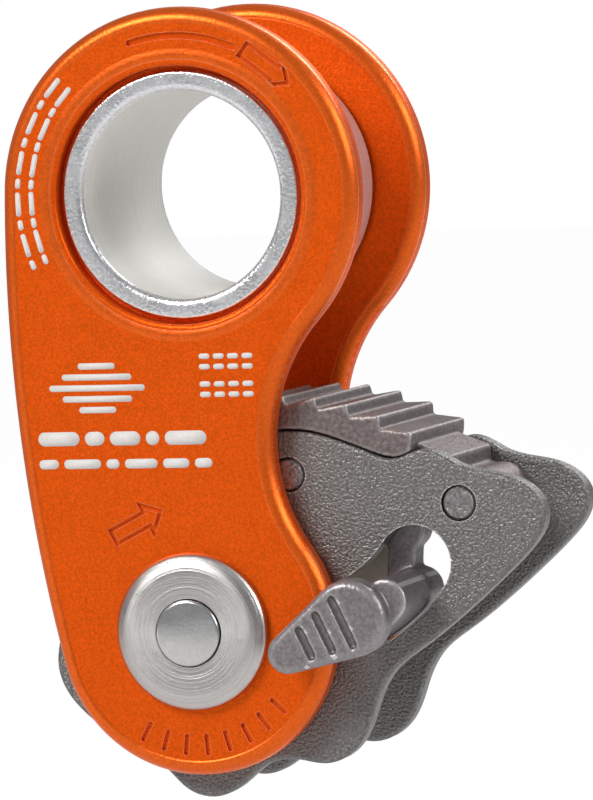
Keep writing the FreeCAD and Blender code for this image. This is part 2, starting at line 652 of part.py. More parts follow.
def springs():
    """The cam's closing spring round the sleeve, and the lever's spring beside its hub."""
    wire = SIZES["springWire"]
    radius = SLEEVE_OUT.value + SIZES["springGap"] + wire / 2
    start_y = -wire * SPRING_PITCH * SPRING_TURNS / 2
    coil("cam_spring", wire, radius, SPRING_TURNS, Vector(0, start_y, PIVOT_UP.value),
         SIZES["springTurn"], SIZES["springFoot"], SIZES["springLeg"])
    wire = SIZES["leverWire"]
    radius = LEVER_BUSH_OUT.value - SIZES["runFit"] + SIZES["leverSpringGap"] + wire / 2
    start_y = (LEVER_DEEP - LEVER_FACE).value + SIZES["leverSpringSide"]
    place = Vector(SIZES["leverPinAcross"], start_y, PIVOT_UP.value + SIZES["leverPinUp"])
    coil("lever_spring", wire, radius, LEVER_SPRING_TURNS, place,
         SIZES["leverSpringTurn"], SIZES["leverSpringLeg"], SIZES["leverSpringLeg"])


# ---- lock lever ------------------------------------------------------------------------------------

def about_hub(radius, degrees):
    """A point at a radius and angle about the lever pin."""
    angle = math.radians(degrees)
    hub = Vector(SIZES["leverPinAcross"], SIZES["leverPinUp"], 0)
    return hub + Vector(math.cos(angle), math.sin(angle), 0) * radius


def arm_points():
    """Middle line of the arm inside the cam: the hub, a knee ahead of it and the foot of the neck."""
    knee = about_hub(SIZES["kneeReach"], -SIZES["kneeAngle"])
    neck = about_hub(NECK_RADIUS, -(NECK_UPPER + NECK_LOWER) / 2)
    return about_hub(0, 0), knee, neck


def bar(sketch, start, end, half):
    """A straight bar with round ends drawn round the line from start to end."""
    way = (end - start).normalize()
    side = Vector(-way.y, way.x, 0) * half
    lines = [(start + side, end + side), (end - side, start - side)]
    tip = end + way * half
    tail = start - way * half
    sketch.addGeometry(Part.LineSegment(*lines[0]))
    sketch.addGeometry(Part.Arc(end + side, tip, end - side))
    sketch.addGeometry(Part.LineSegment(*lines[1]))
    sketch.addGeometry(Part.Arc(start - side, tail, start + side))


def teardrop(sketch, wide, narrow, wide_radius, narrow_radius):
    """Two circles joined by their common outer tangents."""
    way = narrow - wide
    length = way.Length
    way.normalize()
    side = Vector(-way.y, way.x, 0)
    lean = math.asin((wide_radius - narrow_radius) / length)
    up = side * math.cos(lean) + way * math.sin(lean)
    down = side * -math.cos(lean) + way * math.sin(lean)
    first, second = wide + up * wide_radius, narrow + up * narrow_radius
    third, fourth = narrow + down * narrow_radius, wide + down * wide_radius
    sketch.addGeometry(Part.LineSegment(first, second))
    sketch.addGeometry(Part.Arc(second, narrow + way * narrow_radius, third))
    sketch.addGeometry(Part.LineSegment(third, fourth))
    sketch.addGeometry(Part.Arc(fourth, wide - way * wide_radius, first))


def lock_lever():
    """Cast lever: hub on the lever pin, arm behind the cam plate, neck through the slot, thumb pad."""
    body = new_body("lock_lever", up=PIVOT_UP)
    hub, knee, neck = arm_points()
    deep = LEVER_DEEP
    back = LEVER_FACE - deep
    hub_sketch = new_sketch(body, "XZ_Plane", "leverHub", back)
    add_circle(hub_sketch, D["leverPinAcross"], D["leverPinUp"], D["leverHub"])
    pad(body, hub_sketch, deep)
    for name, start, end, half in (("leverArm", hub, knee, "armHalf"), ("leverWeb", knee, neck, "webHalf")):
        sketch = new_sketch(body, "XZ_Plane", name, back)
        bar(sketch, start, end, SIZES[half])
        pad(body, sketch, deep)
    neck_sketch = new_sketch(body, "XZ_Plane", "leverNeck", back)
    add_kidney(neck_sketch, (hub.x, hub.y), NECK_RADIUS, NECK_HALF, NECK_UPPER, NECK_LOWER)
    pad(body, neck_sketch, OUTER + D["padStand"] + D["padThick"] * SIZES["neckShare"] - back)
    middle = about_hub(NECK_RADIUS, -(NECK_UPPER + NECK_LOWER) / 2)
    wide = middle + Vector(SIZES["padAcross"], SIZES["padUp"], 0)
    slope = math.radians(SIZES["padSlope"])
    narrow = wide - Vector(math.cos(slope), math.sin(slope), 0) * SIZES["padLong"]
    pad_sketch = new_sketch(body, "XZ_Plane", "leverPad", OUTER + D["padStand"])
    teardrop(pad_sketch, wide, narrow, SIZES["padWide"], SIZES["padNarrow"])
    pad(body, pad_sketch, D["padThick"])
    pad_front = -(OUTER.value + SIZES["padStand"] + SIZES["padThick"])
    round_edges(body, D["padRound"], lambda edge: at_y(edge, pad_front))
    grips = new_sketch(body, "XZ_Plane", "leverGrips", OUTER + D["padStand"] + D["padThick"])
    grip_slots(grips, wide, narrow)
    pocket(body, grips, D["gripDepth"])
    hole = new_sketch(body, "XZ_Plane", "leverHole")
    add_circle(hole, D["leverPinAcross"], D["leverPinUp"], LEVER_BUSH_OUT + D["seatFit"])
    pocket(body, hole, both_ways=True)
    return body


def grip_slots(sketch, wide, narrow):
    """Three thumb grooves across the pad, steeper than square to its length."""
    centre = wide * (1 - SIZES["gripShare"]) + narrow * SIZES["gripShare"]
    along = (wide - narrow).normalize()
    lean = math.radians(SIZES["padSlope"] - 90 - SIZES["gripLean"])
    across = Vector(math.cos(lean), math.sin(lean), 0)
    for step in (-1, 0, 1):
        reach = across * (SIZES["gripReach"] + SIZES["gripTaper"] * step)
        middle = centre + along * (SIZES["gripPitch"] * step)
        bar(sketch, middle - reach, middle + reach, SIZES["gripWidth"] / 2)


def lever_bush():
    """Bronze bush pressed in the lever's hub, running on the lever pin."""
    bore = D["leverPinRadius"] + D["runFit"]
    front = -LEVER_FACE
    back = -(D["jawCheek"] + D["jawLift"])
    body = turned("lever_bush", [(bore, front), (LEVER_BUSH_OUT, front), (LEVER_BUSH_OUT, back),
                                 (bore, back)], up=PIVOT_UP + D["leverPinUp"])
    body.setExpression("Placement.Base.x", D["leverPinAcross"].text)


# ---- assembly --------------------------------------------------------------------------------------

def check_document():
    """Stop if a feature failed or a sub-part has no sound solid."""
    for obj in doc.Objects:
        if "Invalid" in obj.State or "Error" in obj.State:
            raise RuntimeError(f"{obj.Name} failed: {obj.State}")
    for piece in pieces:
        shape = piece.Shape
        if shape.isNull() or not shape.isValid() or len(shape.Solids) != 1:
            raise RuntimeError(f"{piece.Label} is not one sound solid")


side_plate("front_side_plate", True)
side_plate("rear_side_plate", False)
hollow_axle()
pivot_parts()
sheave_parts()
cam_plate("front_cam_plate", -CAM_OUTER)
cam_plate("rear_cam_plate", CAM_INNER)
toothed_jaw()
cam_pins()
lock_lever()
lever_bush()
spring_seat()
springs()
doc.recompute()
check_document()
os.makedirs("parts", exist_ok=True)
for piece in pieces:
    piece.Shape.exportStep(f"parts/{piece.Label}.step")
    print(f"{piece.Label:20s} {piece.Shape.Volume:9.1f} mm3")
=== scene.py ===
import math
import bmesh
import bpy
import numpy as np
from mathutils import Matrix, Vector


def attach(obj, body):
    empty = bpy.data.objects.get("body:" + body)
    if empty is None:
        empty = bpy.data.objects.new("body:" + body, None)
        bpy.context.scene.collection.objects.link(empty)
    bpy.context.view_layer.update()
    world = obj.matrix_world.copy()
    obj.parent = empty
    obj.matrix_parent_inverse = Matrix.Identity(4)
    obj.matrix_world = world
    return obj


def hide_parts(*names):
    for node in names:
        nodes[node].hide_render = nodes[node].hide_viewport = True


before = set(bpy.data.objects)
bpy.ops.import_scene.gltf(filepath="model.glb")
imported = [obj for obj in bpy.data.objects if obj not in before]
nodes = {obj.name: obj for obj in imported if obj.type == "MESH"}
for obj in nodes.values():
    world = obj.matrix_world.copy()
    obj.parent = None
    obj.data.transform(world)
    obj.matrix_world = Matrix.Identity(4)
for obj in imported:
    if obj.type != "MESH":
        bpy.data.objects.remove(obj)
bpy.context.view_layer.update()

mm = 0.001

# ---- camera ----------------------------------------------------------------------------------------
# A long lens half a metre from the device, a little to its front right and a little above it.
azimuth, elevation, roll = math.radians(18.09), math.radians(3.91), math.radians(-2.17)
aim = Vector((0.01013, -0.0115, -0.0178))
stand_off = 0.5015
away = Vector((math.sin(azimuth) * math.cos(elevation), -math.cos(azimuth) * math.cos(elevation),
               math.sin(elevation)))
level = Vector((math.cos(azimuth), math.sin(azimuth), 0.0))
upright = away.cross(level)
side = level * math.cos(roll) + upright * math.sin(roll)
top = upright * math.cos(roll) - level * math.sin(roll)
lens = bpy.data.cameras.new("camera")
lens.sensor_width = 36.0
lens.lens = 263.4
lens.clip_start, lens.clip_end = 0.01, 20.0
camera = bpy.data.objects.new("camera", lens)
turned_to = Matrix((side, top, away)).transposed().to_4x4()
camera.matrix_world = Matrix.Translation(aim + away * stand_off) @ turned_to
bpy.context.scene.collection.objects.link(camera)
bpy.context.scene.camera = camera


# ---- studio ----------------------------------------------------------------------------------------
# A pale floor well below the device, a white surround and large soft lamps, as for a catalogue picture.
# The surround looks white to the camera, lights matt surfaces only a little, and shows in polished ones.
bpy.context.scene.view_settings.view_transform = "Standard"
floor_mesh = bpy.data.meshes.new("floor")
floor_reach, floor_up = 3.0, -0.13
floor_mesh.from_pydata([(-floor_reach, -floor_reach, floor_up), (floor_reach, -floor_reach, floor_up),
                        (floor_reach, floor_reach, floor_up), (-floor_reach, floor_reach, floor_up)],
                       [], [(0, 1, 2, 3)])
floor = bpy.data.objects.new("floor", floor_mesh)
bpy.context.scene.collection.objects.link(floor)
pale = bpy.data.materials.new("pale_floor")
pale.use_nodes = True
paint = pale.node_tree
paint.nodes["Principled BSDF"].inputs["Base Color"].default_value = (0.82, 0.82, 0.82, 1)
paint.nodes["Principled BSDF"].inputs["Roughness"].default_value = 0.9
glow = paint.nodes.new("ShaderNodeEmission")
glow.inputs["Strength"].default_value = 1.05
to_camera = paint.nodes.new("ShaderNodeLightPath")
share = paint.nodes.new("ShaderNodeMath")
share.operation = "MULTIPLY"
share.inputs[1].default_value = 0.93
blend = paint.nodes.new("ShaderNodeMixShader")
paint.links.new(to_camera.outputs["Is Camera Ray"], share.inputs[0])
paint.links.new(share.outputs[0], blend.inputs["Fac"])
paint.links.new(paint.nodes["Principled BSDF"].outputs["BSDF"], blend.inputs[1])
paint.links.new(glow.outputs["Emission"], blend.inputs[2])
paint.links.new(blend.outputs["Shader"], paint.nodes["Material Output"].inputs["Surface"])
floor_mesh.materials.append(pale)

world = bpy.data.worlds.new("surround")
bpy.context.scene.world = world
world.use_nodes = True
sky = world.node_tree
sky.nodes.clear()
lit = sky.nodes.new("ShaderNodeBackground")
lit.inputs["Color"].default_value = (1.0, 0.99, 0.98, 1)
lit.inputs["Strength"].default_value = 0.07
mirrored = sky.nodes.new("ShaderNodeBackground")
mirrored.inputs["Color"].default_value = (0.97, 0.98, 1.0, 1)
mirrored.inputs["Strength"].default_value = 0.30
seen = sky.nodes.new("ShaderNodeBackground")
seen.inputs["Color"].default_value = (1, 1, 1, 1)
path = sky.nodes.new("ShaderNodeLightPath")
either = sky.nodes.new("ShaderNodeMixShader")
unseen = sky.nodes.new("ShaderNodeMixShader")
shown = sky.nodes.new("ShaderNodeOutputWorld")
sky.links.new(path.outputs["Is Camera Ray"], either.inputs["Fac"])
sky.links.new(path.outputs["Is Glossy Ray"], unseen.inputs["Fac"])
sky.links.new(lit.outputs["Background"], unseen.inputs[1])
sky.links.new(mirrored.outputs["Background"], unseen.inputs[2])
sky.links.new(unseen.outputs["Shader"], either.inputs[1])
sky.links.new(seen.outputs["Background"], either.inputs[2])
sky.links.new(either.outputs["Shader"], shown.inputs["Surface"])


def soft_lamp(name, place, size, power, colour=(1, 1, 1)):
    """A square area lamp at place that faces the middle of the device."""
    data = bpy.data.lights.new(name, "AREA")
    data.shape, data.size, data.energy, data.color = "SQUARE", size, power, colour
    lamp = bpy.data.objects.new(name, data)
    lamp.location = place
    lamp.rotation_euler = (Vector(place) - Vector((0.005, 0, -0.015))).to_track_quat("Z", "Y").to_euler()
    bpy.context.scene.collection.objects.link(lamp)


soft_lamp("key", (-0.42, -0.70, 0.60), 0.42, 8.2, (1.0, 0.98, 0.95))
soft_lamp("right", (0.90, -0.12, 0.42), 0.40, 4.2, (0.97, 0.98, 1.0))
soft_lamp("low_right", (0.55, -0.60, -0.35), 0.30, 0.6)
soft_lamp("low_left", (-0.70, -0.45, -0.25), 0.35, 0.8)
soft_lamp("back", (0.30, 0.70, 0.65), 0.5, 6.0)


# ---- side plates -----------------------------------------------------------------------------------
# Two forged aluminium plates, anodised orange over a fine blasted grain, each with a dished seat for
# the axle's rim. A rolled shoulder runs inside the edge, and its lighter orange is a painted highlight.
def new_group(name, inputs, outputs):
    """An empty shader group with named float or vector sockets."""
    group = bpy.data.node_groups.new(name, "ShaderNodeTree")
    for label, kind, value in inputs:
        socket = group.interface.new_socket(label, in_out="INPUT", socket_type=kind)
        socket.default_value = value
    for label in outputs:
        group.interface.new_socket(label, in_out="OUTPUT", socket_type="NodeSocketFloat")
    return group, group.nodes.new("NodeGroupInput"), group.nodes.new("NodeGroupOutput")


def sum_up(tree, operation, *values, clamp=False):
    """A Math node whose inputs are sockets or numbers; gives back its output."""
    node = tree.nodes.new("ShaderNodeMath")
    node.operation = operation
    node.use_clamp = clamp
    for socket, value in zip(node.inputs, values):
        if isinstance(value, bpy.types.NodeSocket):
            tree.links.new(value, socket)
        else:
            socket.default_value = value
    return node.outputs[0]


def make_grain():
    """Noise at the grain's size for height, and slow noise eight times as broad for mottling."""
    group, given, out = new_group("fine_grain", [("Size mm", "NodeSocketFloat", 0.3)], ["Height", "Mottle"])
    place = group.nodes.new("ShaderNodeTexCoord")
    scale = sum_up(group, "DIVIDE", 1.0 / mm, given.outputs["Size mm"])
    for label, detail, factor in (("Height", 2.0, 1.0), ("Mottle", 3.0, 0.12)):
        noise = group.nodes.new("ShaderNodeTexNoise")
        noise.inputs["Detail"].default_value = detail
        group.links.new(place.outputs["Object"], noise.inputs["Vector"])
        group.links.new(sum_up(group, "MULTIPLY", scale, factor), noise.inputs["Scale"])
        group.links.new(noise.outputs["Fac"], out.inputs[label])
    return group


def make_edge_highlight():
    """How far a rounded normal turns from the true one: high on a sharp edge, broken up by noise. It masks a
    painted edge highlight.
    """
    group, given, out = new_group("edge_highlight_mask", [("Width mm", "NodeSocketFloat", 0.3),
                                                 ("Amount", "NodeSocketFloat", 1.0)], ["Mask"])
    bevel = group.nodes.new("ShaderNodeBevel")
    bevel.samples = 8
    group.links.new(sum_up(group, "MULTIPLY", given.outputs["Width mm"], mm), bevel.inputs["Radius"])
    here = group.nodes.new("ShaderNodeNewGeometry")
    dot = group.nodes.new("ShaderNodeVectorMath")
    dot.operation = "DOT_PRODUCT"
    group.links.new(bevel.outputs["Normal"], dot.inputs[0])
    group.links.new(here.outputs["Normal"], dot.inputs[1])
    bend = sum_up(group, "SUBTRACT", 1.0, dot.outputs["Value"])
    place = group.nodes.new("ShaderNodeTexCoord")
    noise = group.nodes.new("ShaderNodeTexNoise")
    noise.inputs["Scale"].default_value = 900.0
    noise.inputs["Detail"].default_value = 4.0
    group.links.new(place.outputs["Object"], noise.inputs["Vector"])
    broken = sum_up(group, "MULTIPLY", bend, sum_up(group, "MULTIPLY", noise.outputs["Fac"], 9.0))
    group.links.new(sum_up(group, "MULTIPLY", broken, given.outputs["Amount"], clamp=True),
                    out.inputs["Mask"])
    return group


fine_grain, edge_highlight_mask = make_grain(), make_edge_highlight()


def finish(name, colour, rough, metal, grain_mm, relief_mm, spread=0.1, specular=0.5, rough_spread=0.08,
           edge_highlight=None, edge_mm=0.3, edge_amount=1.0):
    """A Principled material: grain in colour and relief, mottled gloss, and a painted highlight along the
    edges.
    """
    made = bpy.data.materials.new(name)
    made.use_nodes = True
    tree = made.node_tree
    shader = tree.nodes["Principled BSDF"]
    shader.inputs["Metallic"].default_value = metal
    shader.inputs["Specular IOR Level"].default_value = specular
    grain = tree.nodes.new("ShaderNodeGroup")
    grain.name, grain.node_tree = "grain", fine_grain
    grain.inputs["Size mm"].default_value = grain_mm
    ramp = tree.nodes.new("ShaderNodeMapRange")
    ramp.inputs["From Min"].default_value, ramp.inputs["From Max"].default_value = 0.3, 0.7
    tree.links.new(grain.outputs["Height"], ramp.inputs["Value"])
    speckle = tree.nodes.new("ShaderNodeMix")
    speckle.name, speckle.data_type = "speckle", "RGBA"
    speckle.inputs["A"].default_value = (*[c * (1 - spread) for c in colour], 1)
    speckle.inputs["B"].default_value = (*[min(1, c * (1 + spread)) for c in colour], 1)
    tree.links.new(ramp.outputs["Result"], speckle.inputs["Factor"])
    tree.links.new(speckle.outputs["Result"], shader.inputs["Base Color"])
    # A paler colour laid along the edges here is a painted edge highlight.
    if edge_highlight is not None:
        edges = tree.nodes.new("ShaderNodeGroup")
        edges.node_tree = edge_highlight_mask
        edges.inputs["Width mm"].default_value = edge_mm
        edges.inputs["Amount"].default_value = edge_amount
        paint_over(made, edges.outputs["Mask"], edge_highlight)
    gloss = tree.nodes.new("ShaderNodeMapRange")
    gloss.inputs["To Min"].default_value = max(0.02, rough - rough_spread)
    gloss.inputs["To Max"].default_value = rough + rough_spread
    tree.links.new(grain.outputs["Mottle"], gloss.inputs["Value"])
    tree.links.new(gloss.outputs["Result"], shader.inputs["Roughness"])
    relief = tree.nodes.new("ShaderNodeBump")
    relief.name = "relief"
    relief.inputs["Distance"].default_value = relief_mm * mm
    tree.links.new(grain.outputs["Height"], relief.inputs["Height"])
    tree.links.new(relief.outputs["Normal"], shader.inputs["Normal"])
    return made


def paint_over(material, mask, colour):
    """Lay a colour over a material's present base colour where a mask is high."""
    tree = material.node_tree
    socket = tree.nodes["Principled BSDF"].inputs["Base Color"]
    under = socket.links[0].from_socket
    coat = tree.nodes.new("ShaderNodeMix")
    coat.data_type = "RGBA"
    coat.inputs["B"].default_value = (*colour, 1)
    tree.links.new(mask, coat.inputs["Factor"])
    tree.links.new(under, coat.inputs["A"])
    tree.links.new(coat.outputs["Result"], socket)


def dress(material, *names):
    """Give CAD nodes one finish."""
    for name in names:
        node = nodes[name]
        node.data.materials.clear()
        node.data.materials.append(material)


def skin(name, points, material, body, around=True, along=True):
    """A mesh piece through a grid of points, closed around its rows and along its columns."""
    rows, columns = points.shape[:2]
    index = np.arange(rows * columns).reshape(rows, columns)
    if along:
        index = np.vstack([index, index[:1]])
    if around:
        index = np.hstack([index, index[:, :1]])
    faces = np.stack([index[:-1, :-1], index[:-1, 1:], index[1:, 1:], index[1:, :-1]], -1).reshape(-1, 4)
    return mesh_piece(name, points.reshape(-1, 3) * mm, faces, material, body)


def mesh_piece(name, vertices, faces, material, body):
    """A smooth closed mesh with its doubles merged and its faces turned outwards, riding on a body."""
    mesh = bpy.data.meshes.new(name)
    mesh.from_pydata(vertices.tolist(), [], faces.tolist())
    work = bmesh.new()
    work.from_mesh(mesh)
    bmesh.ops.remove_doubles(work, verts=work.verts, dist=1e-7)
    bmesh.ops.recalc_face_normals(work, faces=work.faces)
    work.to_mesh(mesh)
    work.free()
    mesh.polygons.foreach_set("use_smooth", np.ones(len(mesh.polygons), bool))
    mesh.materials.append(material)
    piece = bpy.data.objects.new(name, mesh)
    bpy.context.scene.collection.objects.link(piece)
    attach(piece, body)
    return piece


crown, foot, back_arc, waist, drop = 16.2, 12.65, 150.0, 15.5, 37.7
plate_thick, plate_round, plate_mid = 3.0, 1.25, 10.0
lip_radius = 11.15


def plate_edge(count=180):
    """Points and outward normals of the plate's edge: crown, back, foot and hollow waist arcs, end to end.

    The two joining arcs' centres lie where circles about the bore and the pivot cross."""
    def crossing(to_crown, to_foot):
        up = (to_foot ** 2 - to_crown ** 2 - drop ** 2) / (2 * drop)
        return np.array([math.sqrt(to_crown ** 2 - up ** 2), up])

    back_at, waist_at = crossing(back_arc - crown, back_arc - foot), crossing(waist + crown, waist + foot)
    bore_at, pivot_at = np.array([0.0, 0.0]), np.array([0.0, -drop])

    def bearing(centre, towards):
        return math.atan2(towards[1] - centre[1], towards[0] - centre[0]) % (2 * math.pi)

    full = 2 * math.pi
    back_top, back_low = bearing(back_at, bore_at), bearing(back_at, pivot_at)
    waist_top, waist_low = bearing(waist_at, bore_at), bearing(waist_at, pivot_at)
    arcs = [(bore_at, crown, waist_top - math.pi, back_top, 1), (back_at, back_arc, back_top, back_low, 1),
            (pivot_at, foot, back_low, waist_low - math.pi + full, 1),
            (waist_at, waist, waist_low, waist_top, -1)]
    places, normals = [], []
    for centre, radius, start, end, way in arcs:
        angle = np.linspace(start, end, count, endpoint=False)
        ray = np.stack([np.cos(angle), np.sin(angle)], -1)
        places.append(centre + radius * ray)
        normals.append(ray * way)
    return np.concatenate(places), np.concatenate(normals)


def shoulder(name, outward, plate_side, material):
    """A rolled shoulder on one face: height over the plate's middle is the edge's quarter round plus a
    bead that swells smoothly inwards from the edge and drops at the crease."""
    depth = np.array([0.05, 0.1, 0.18, 0.28, 0.4, 0.55, 0.7, 0.85, 1.0, 1.12, 1.22, 1.3, 1.36, 1.42, 1.5])
    short = np.clip(plate_round - depth, 0, None)
    quarter = plate_thick / 2 - plate_round + np.sqrt(plate_round ** 2 - short ** 2)
    swell = np.clip((depth - 0.05) / 0.75, 0, 1)
    bead = 0.09 * swell ** 2 * (3 - 2 * swell) - 0.13 * np.clip((depth - 1.18) / 0.22, 0, 1) ** 1.5
    height = np.concatenate([quarter + bead, (quarter - 0.15)[::-1]])
    inset = np.concatenate([depth, depth[::-1]])
    place, normal = plate_edge()
    flat = place[:, None, :] - inset[None, :, None] * normal[:, None, :]
    across = np.broadcast_to(plate_side * plate_mid + outward * height, flat.shape[:2])
    skin(name, np.stack([flat[..., 0], across, flat[..., 1]], -1), material, "side_frame")


def lip(name, outward, material):
    """A dished shoulder round the seat of the axle's rim: a low bead whose height is a raised cosine."""
    angle = np.linspace(0, 2 * math.pi, 240, endpoint=False)
    step = np.linspace(0, 1, 14)
    radius = lip_radius + 0.42 + 1.35 * step
    height = 0.075 * (0.5 - 0.5 * np.cos(2 * math.pi * np.clip(step * 1.08, 0, 1) ** 0.8)) - 0.012
    radius = np.concatenate([radius, radius[::-1]])
    height = np.concatenate([height, np.full(14, -0.1)])
    face = plate_mid + plate_thick / 2
    grid = np.stack([radius[None, :] * np.cos(angle)[:, None],
                     np.broadcast_to(outward * (face + height), (240, 28)),
                     radius[None, :] * np.sin(angle)[:, None]], -1)
    skin(name, grid, material, "side_frame")


# The salmon along the edges and the lighter orange on the shoulders and lips are painted highlights.
orange = finish("orange_anodising", (0.80, 0.100, 0.003), 0.42, 0.62, 0.22, 0.034, spread=0.16, specular=0.15,
                edge_highlight=(0.88, 0.28, 0.12), edge_mm=0.16, edge_amount=0.8)
highlit_orange = finish("painted_highlight_anodising", (0.82, 0.125, 0.010), 0.34, 0.62, 0.22, 0.022, spread=0.12,
                     specular=0.25, edge_highlight=(0.90, 0.36, 0.20), edge_mm=0.3, edge_amount=0.6)
dress(orange, "front_side_plate", "rear_side_plate")
for plate_name, plate_side in (("front", -1), ("rear", 1)):
    shoulder(plate_name + "_plate_outer_shoulder", plate_side, plate_side, highlit_orange)
    shoulder(plate_name + "_plate_inner_shoulder", -plate_side, plate_side, highlit_orange)
    lip(plate_name + "_plate_lip", plate_side, highlit_orange)


# ---- printed marks ---------------------------------------------------------------------------------
# Plain white dashes and bars, pad-printed on the front plate where a maker would put a name. They are
# a neutral pattern with no meaning.
def printed_bars(name, bars, material):
    """Flat bars with round ends. A bar is (along, up, half length, half width, ring): its outline is a
    circle whose halves are slid apart, and on a ring the length runs round the bore instead."""
    turn = np.linspace(0, 2 * math.pi, 24, endpoint=False)
    bars = np.array(bars)
    along, up, half_long, half_wide, ring = (bars[:, k, None] for k in range(5))
    shrink = np.array([0.0, 1.0, 1.0, 0.0])[:, None, None]
    height = np.array([-0.03, -0.03, 0.012, 0.012])[:, None, None]
    slide = np.sign(np.cos(turn)) * (half_long - half_wide) * shrink
    s = slide + half_wide * np.cos(turn) * shrink
    w = half_wide * np.sin(turn) * shrink
    bent = ring > 0
    angle = along + s / np.where(bent, ring, 1)
    x = np.where(bent, (ring + w) * np.cos(angle), along + s)
    z = np.where(bent, (ring + w) * np.sin(angle), up + w)
    face = plate_mid + plate_thick / 2
    y = np.broadcast_to(-(face + height), x.shape)
    points = np.stack([x, y, z], -1).transpose(1, 0, 2, 3)
    count, rows, columns = points.shape[:3]
    index = np.arange(count * rows * columns).reshape(count, rows, columns)
    index = np.concatenate([index, index[:, :, :1]], 2)
    faces = np.stack([index[:, :-1, :-1], index[:, :-1, 1:], index[:, 1:, 1:], index[:, 1:, :-1]], -1)
    mesh_piece(name, points.reshape(-1, 3) * mm, faces.reshape(-1, 4), material, "side_frame")


arc_ring, arc_from, arc_to, arc_count = 14.0, 139.0, 203.0, 10
arc_angles = np.radians(np.linspace(arc_from, arc_to, arc_count))
bars = [(angle, 0.0, (1.05, 0.45)[k % 2], 0.24, arc_ring + shift)
        for k, angle in enumerate(arc_angles) for shift in (0.62, -0.62)]
row_from, bar_gap = -13.6, 0.5
for row_up, row_half, pattern in ((-20.9, 0.62, (1.9, 0.9, 1.4, 0.62, 1.9)),
                                  (-23.1, 0.42, (0.9, 1.7, 0.6, 1.5, 1.2, 0.8))):
    start = row_from
    for half_long in pattern:
        bars.append((start + half_long, row_up, half_long, row_half, 0.0))
        start += 2 * half_long + bar_gap
stack_along, stack_up, stack_pitch, stack_half = -8.0, -14.6, 0.95, 0.28
for k, half_long in enumerate((1.7, 3.2, 4.4, 3.2, 1.7)):
    bars.append((stack_along, stack_up - stack_pitch * k, half_long, stack_half, 0.0))
grid_along, grid_pitch, grid_drop, dash_half_long, dash_half = 1.9, 1.3, 0.9, 0.5, 0.24
for row_up in (-13.9, -16.3):
    for k in range(4):
        bars.append((grid_along + grid_pitch * k, row_up, dash_half_long, dash_half, 0.0))
        bars.append((grid_along + grid_pitch * k, row_up - grid_drop, dash_half_long, dash_half, 0.0))
print_white = finish("print_white", (0.78, 0.75, 0.73), 0.5, 0.0, 0.18, 0.006, spread=0.06)
printed_bars("printed_bars", bars, print_white)


# ---- hollow axle -----------------------------------------------------------------------------------
# An aluminium tube that the side plates are swaged on to. Its bore is left as turned and matt, and
# its rolled rims are polished.
def soft_corners(corners, cuts, steps=7):
    """A closed outline whose corners become quadratic curves that start and end cut from each corner."""
    corners = np.asarray(corners, float)
    before = np.roll(corners, 1, 0) - corners
    after = np.roll(corners, -1, 0) - corners
    cuts = np.asarray(cuts, float)[:, None]
    enter = corners + before / np.linalg.norm(before, axis=1, keepdims=True) * cuts
    leave = corners + after / np.linalg.norm(after, axis=1, keepdims=True) * cuts
    t = np.linspace(0, 1, steps)[None, :, None]
    curve = (1 - t) ** 2 * enter[:, None] + 2 * t * (1 - t) * corners[:, None] + t ** 2 * leave[:, None]
    return curve.reshape(-1, 2)


def lathe(name, outline, centre_up, material, body, steps=256, closed=True):
    """A (radius, y) outline carried round an axis along Y: x = r cos a, z = r sin a."""
    angle = np.linspace(0, 2 * math.pi, steps, endpoint=False)
    radius, y = outline[:, 0][:, None], outline[:, 1][:, None]
    grid = np.stack([radius * np.cos(angle), np.broadcast_to(y, (len(outline), steps)),
                     centre_up + radius * np.sin(angle)], -1)
    return skin(name, grid, material, body, along=closed)


def make_turned():
    """Lathe marks: noise along one number, which is the radius about an axis along Y, or Y itself."""
    group, given, out = new_group("turned_marks", [("Pitch mm", "NodeSocketFloat", 0.1),
                                                   ("Centre up mm", "NodeSocketFloat", 0.0),
                                                   ("Facing", "NodeSocketFloat", 1.0)], ["Height"])
    place = group.nodes.new("ShaderNodeTexCoord")
    split = group.nodes.new("ShaderNodeSeparateXYZ")
    group.links.new(place.outputs["Object"], split.inputs["Vector"])
    rise = sum_up(group, "SUBTRACT", split.outputs["Z"],
                  sum_up(group, "MULTIPLY", given.outputs["Centre up mm"], mm))
    square = sum_up(group, "ADD", sum_up(group, "MULTIPLY", split.outputs["X"], split.outputs["X"]),
                    sum_up(group, "MULTIPLY", rise, rise))
    radius = sum_up(group, "MULTIPLY", sum_up(group, "SQRT", square), given.outputs["Facing"])
    width = sum_up(group, "MULTIPLY", split.outputs["Y"],
                   sum_up(group, "SUBTRACT", 1.0, given.outputs["Facing"]))
    number = sum_up(group, "DIVIDE", sum_up(group, "ADD", radius, width),
                    sum_up(group, "MULTIPLY", given.outputs["Pitch mm"], mm))
    noise = group.nodes.new("ShaderNodeTexNoise")
    noise.noise_dimensions = "1D"
    noise.inputs["Scale"].default_value = 1.0
    noise.inputs["Detail"].default_value = 3.0
    group.links.new(number, noise.inputs["W"])
    group.links.new(noise.outputs["Fac"], out.inputs["Height"])
    return group


turned_marks = make_turned()


